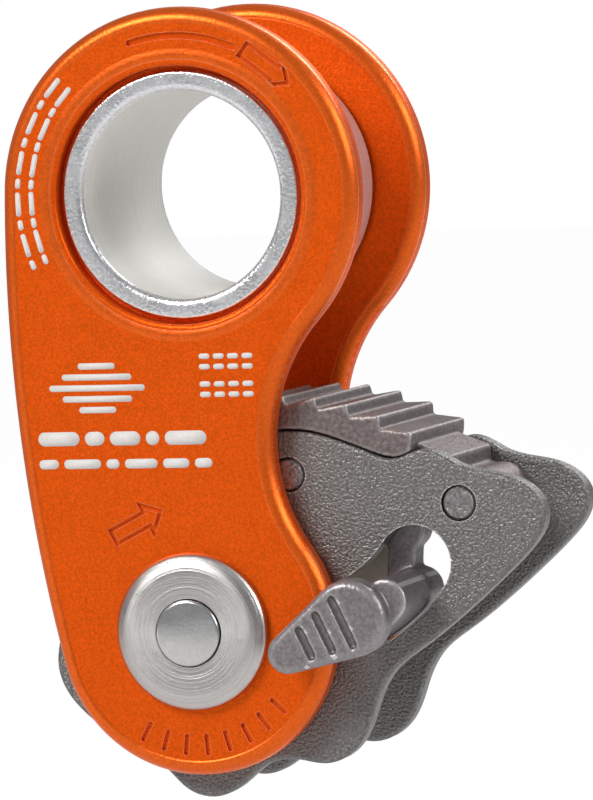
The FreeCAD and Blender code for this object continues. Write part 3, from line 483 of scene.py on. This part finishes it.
def add_turning(material, pitch_mm, relief_mm, centre_up=0.0, facing=1.0, shade=0.0):
    """Lathe marks on top of a finish's own relief, and a little in its colour."""
    tree = material.node_tree
    marks = tree.nodes.new("ShaderNodeGroup")
    marks.node_tree = turned_marks
    marks.inputs["Pitch mm"].default_value = pitch_mm
    marks.inputs["Centre up mm"].default_value = centre_up
    marks.inputs["Facing"].default_value = facing
    ridges = tree.nodes.new("ShaderNodeBump")
    ridges.inputs["Distance"].default_value = relief_mm * mm
    tree.links.new(marks.outputs["Height"], ridges.inputs["Height"])
    tree.links.new(tree.nodes["relief"].outputs["Normal"], ridges.inputs["Normal"])
    tree.links.new(ridges.outputs["Normal"], tree.nodes["Principled BSDF"].inputs["Normal"])
    if shade:
        dark = tree.nodes["speckle"].inputs["A"].default_value
        mask = sum_up(tree, "MULTIPLY", sum_up(tree, "SUBTRACT", 0.62, marks.outputs["Height"]), shade * 6,
                      clamp=True)
        paint_over(material, mask, tuple(c * 0.6 for c in dark[:3]))
    return material


bore, barrel, rim, rim_face, rim_back = 9.0, 9.7, 10.7, 10.8, 9.7
half = [(barrel, rim_back), (rim, rim_back), (rim, rim_face), (bore, rim_face)]
cuts = [0.05, 0.08, 0.28, 0.62]
outline = soft_corners(half + [(r, -y) for r, y in reversed(half)], cuts + cuts[::-1])
bore_matt = finish("bore_matt", (0.84, 0.83, 0.80), 0.52, 0.10, 0.22, 0.006, spread=0.05)
add_turning(bore_matt, 0.16, 0.012, facing=0.0, shade=0.25)
rim_polish = finish("rim_polish", (0.79, 0.80, 0.83), 0.27, 1.0, 0.30, 0.05, spread=0.14, rough_spread=0.1)
add_turning(rim_polish, 0.09, 0.006)
axle = lathe("swaged_axle", outline, 0.0, bore_matt, "side_frame")
axle.data.materials.append(rim_polish)
centres = np.zeros(len(axle.data.polygons) * 3)
axle.data.polygons.foreach_get("center", centres)
polished = np.abs(centres.reshape(-1, 3)[:, 1]) > (rim_face - 0.55) * mm
axle.data.polygons.foreach_set("material_index", polished.astype(np.int32))
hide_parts("hollow_axle")


# ---- sheave and its bushes -------------------------------------------------------------------------
# A turned aluminium ring, slightly hollow across its width, on two flanged bushes of dark bearing
# plastic that run on the axle.
sheave_turned = finish("sheave_turned", (0.88, 0.85, 0.84), 0.42, 0.8, 0.2, 0.006, spread=0.10)
add_turning(sheave_turned, 0.12, 0.012, facing=0.0, shade=0.2)
dress(sheave_turned, "sheave")
polymer = finish("bush_polymer", (0.05, 0.045, 0.04), 0.5, 0.0, 0.3, 0.01)
dress(polymer, "front_sheave_bush", "rear_sheave_bush")


# ---- pivot: rivet, washers, sleeve and shims -------------------------------------------------------
# A polished steel rivet pin through two face-turned stainless washers with crowned edges. The sleeve
# it clamps and the thin shims beside the cam are out of sight.
pin_radius, pin_end, washer_radius, washer_face, washer_foot = 2.88, 13.45, 6.87, 13.0, 11.5
washer_steel = finish("washer_turned", (0.62, 0.60, 0.59), 0.30, 1.0, 0.12, 0.004, spread=0.08)
add_turning(washer_steel, 0.11, 0.026, centre_up=-drop, shade=0.2)
spun = washer_steel.node_tree.nodes.new("ShaderNodeTangent")
spun.direction_type, spun.axis = "RADIAL", "Y"
washer_steel.node_tree.links.new(spun.outputs["Tangent"],
                                 washer_steel.node_tree.nodes["Principled BSDF"].inputs["Tangent"])
washer_steel.node_tree.nodes["Principled BSDF"].inputs["Anisotropic"].default_value = 0.85
pin_polish = finish("pin_polish", (0.58, 0.58, 0.585), 0.24, 1.0, 0.3, 0.006, spread=0.06)
for label, way in (("front", -1), ("rear", 1)):
    corners = [(pin_radius + 0.06, washer_foot), (washer_radius, washer_foot),
               (washer_radius, washer_foot + 0.75), (washer_radius - 1.15, washer_face),
               (pin_radius + 0.06, washer_face)]
    outline = soft_corners(corners, [0.02, 0.05, 0.45, 0.55, 0.14]) * (1, way)
    washer = lathe(label + "_turned_washer", outline, -drop, washer_steel, "side_frame")
    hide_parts(label + "_rivet_washer")
ends = soft_corners([(0.0, -pin_end), (pin_radius, -pin_end + 0.12), (pin_radius, pin_end - 0.12),
                     (0.0, pin_end), (-pin_radius, 0.0)], [0.0, 0.3, 0.3, 0.0, 0.0])
outline = ends[: 4 * 7]
rivet = lathe("domed_rivet", outline, -drop, pin_polish, "side_frame", closed=False)
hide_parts("pivot_rivet")
sleeve_steel = finish("sleeve_steel", (0.55, 0.54, 0.53), 0.35, 1.0, 0.2, 0.006)
add_turning(sleeve_steel, 0.12, 0.01, centre_up=-drop, facing=0.0)
dress(sleeve_steel, "pivot_sleeve")
shim_film = finish("shim_film", (0.42, 0.41, 0.38), 0.5, 0.0, 0.3, 0.004)
dress(shim_film, "front_shim", "rear_shim")


# ---- cam plates ------------------------------------------------------------------------------------
# Two stamped steel plates, tumbled to round their edges, then blasted and coated grey.
# The pale colour along the edges is a painted edge highlight.
blasted = finish("blasted_grey", (0.190, 0.185, 0.180), 0.36, 0.65, 0.25, 0.17, spread=0.3,
                 edge_highlight=(0.46, 0.45, 0.44), edge_mm=0.30, edge_amount=1.5)
dress(blasted, "front_cam_plate", "rear_cam_plate")


# ---- toothed jaw -----------------------------------------------------------------------------------
# An investment-cast steel jaw pinned between the cam plates, with nine blunt teeth across its width.
# Its crests carry a painted highlight and its hollows painted shade.
def softened(node_name, name, body, voxel_mm, passes):
    """A copy of a CAD node as one even skin: doubles merged, rebuilt on a voxel grid, then relaxed."""
    mesh = nodes[node_name].data.copy()
    work = bmesh.new()
    work.from_mesh(mesh)
    bmesh.ops.remove_doubles(work, verts=work.verts, dist=1e-6)
    work.to_mesh(mesh)
    work.free()
    piece = bpy.data.objects.new(name, mesh)
    bpy.context.scene.collection.objects.link(piece)
    rebuild = piece.modifiers.new("rebuild", "REMESH")
    rebuild.mode, rebuild.voxel_size = "VOXEL", voxel_mm * mm
    relax = piece.modifiers.new("relax", "SMOOTH")
    relax.factor, relax.iterations = 0.5, passes
    depsgraph = bpy.context.evaluated_depsgraph_get()
    final = bpy.data.meshes.new_from_object(piece.evaluated_get(depsgraph))
    piece.modifiers.clear()
    piece.data = final
    final.name = name
    final.materials.clear()
    final.polygons.foreach_set("use_smooth", np.ones(len(final.polygons), bool))
    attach(piece, body)
    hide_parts(node_name)
    return piece


def make_crest_light_hollow_shade():
    """Painted highlight on the crests and painted shade in the hollows of a dense mesh: its pointedness above
    and below the flat value.
    """
    group, given, out = new_group("crest_light_hollow_shade", [("Amount", "NodeSocketFloat", 1.0)], ["Crest", "Hollow"])
    here = group.nodes.new("ShaderNodeNewGeometry")
    place = group.nodes.new("ShaderNodeTexCoord")
    noise = group.nodes.new("ShaderNodeTexNoise")
    noise.inputs["Scale"].default_value = 1400.0
    noise.inputs["Detail"].default_value = 5.0
    group.links.new(place.outputs["Object"], noise.inputs["Vector"])
    over = sum_up(group, "SUBTRACT", here.outputs["Pointiness"], 0.505)
    strength = sum_up(group, "MULTIPLY", given.outputs["Amount"], 26.0)
    rough = sum_up(group, "MULTIPLY", noise.outputs["Fac"], strength)
    group.links.new(sum_up(group, "MULTIPLY", over, rough, clamp=True), out.inputs["Crest"])
    under = sum_up(group, "SUBTRACT", 0.495, here.outputs["Pointiness"])
    group.links.new(sum_up(group, "MULTIPLY", under, 18.0, clamp=True), out.inputs["Hollow"])
    return group


crest_light_hollow_shade = make_crest_light_hollow_shade()


def add_crest_light_hollow_shade(material, crest, hollow, amount=1.0):
    """A painted highlight on the crests and painted shade in the hollows over a cast finish."""
    tree = material.node_tree
    light_and_shade = tree.nodes.new("ShaderNodeGroup")
    light_and_shade.node_tree = crest_light_hollow_shade
    light_and_shade.inputs["Amount"].default_value = amount
    paint_over(material, light_and_shade.outputs["Hollow"], hollow)
    paint_over(material, light_and_shade.outputs["Crest"], crest)


jaw_cast = finish("jaw_cast", (0.190, 0.158, 0.158), 0.44, 0.6, 0.34, 0.08, spread=0.32)
# Painted highlight on the crests, painted shade in the hollows.
add_crest_light_hollow_shade(jaw_cast, (0.50, 0.47, 0.45), (0.10, 0.08, 0.07))
jaw = softened("toothed_jaw", "cast_jaw", "cam", 0.16, 3)
jaw.data.materials.append(jaw_cast)


# ---- cam pins --------------------------------------------------------------------------------------
# Two hard steel pins, pressed through the jaw and finished flush with the cam plates.
# Their pale edges are a painted edge highlight.
pin_ends = finish("pin_ends", (0.26, 0.245, 0.25), 0.36, 0.8, 0.28, 0.10, spread=0.35,
                  edge_highlight=(0.45, 0.44, 0.44), edge_mm=0.2)
dress(pin_ends, "lever_pin", "jaw_pin")


# ---- springs and the spring's seat -----------------------------------------------------------------
# Drawn steel wire: one spring closes the cam, a thin one returns the lever. The cam spring's leg
# bears on an ivory acetal block.
wire = finish("spring_wire", (0.35, 0.35, 0.36), 0.3, 0.9, 0.2, 0.006)
dress(wire, "cam_spring", "lever_spring")
acetal = finish("seat_acetal", (0.60, 0.56, 0.46), 0.45, 0.0, 0.5, 0.01, spread=0.05)
dress(acetal, "spring_seat")


# ---- lock lever and its bush -----------------------------------------------------------------------
# A small cast steel lever with a thumb pad. The pad has three pressed grooves; its edge and tip carry
# a painted highlight and its grooves painted shade. A sintered bronze bush lines its hub.
lever_cast = finish("lever_cast", (0.245, 0.220, 0.232), 0.40, 0.65, 0.30, 0.045, spread=0.25)
# Painted highlight on the pad's edge and tip, painted shade in its grooves.
add_crest_light_hollow_shade(lever_cast, (0.62, 0.60, 0.61), (0.12, 0.10, 0.10), amount=1.3)
lever = softened("lock_lever", "cast_lever", "lever", 0.15, 9)
lever.data.materials.append(lever_cast)
bronze = finish("sintered_bronze", (0.45, 0.27, 0.12), 0.4, 0.8, 0.2, 0.02)
dress(bronze, "lever_bush")
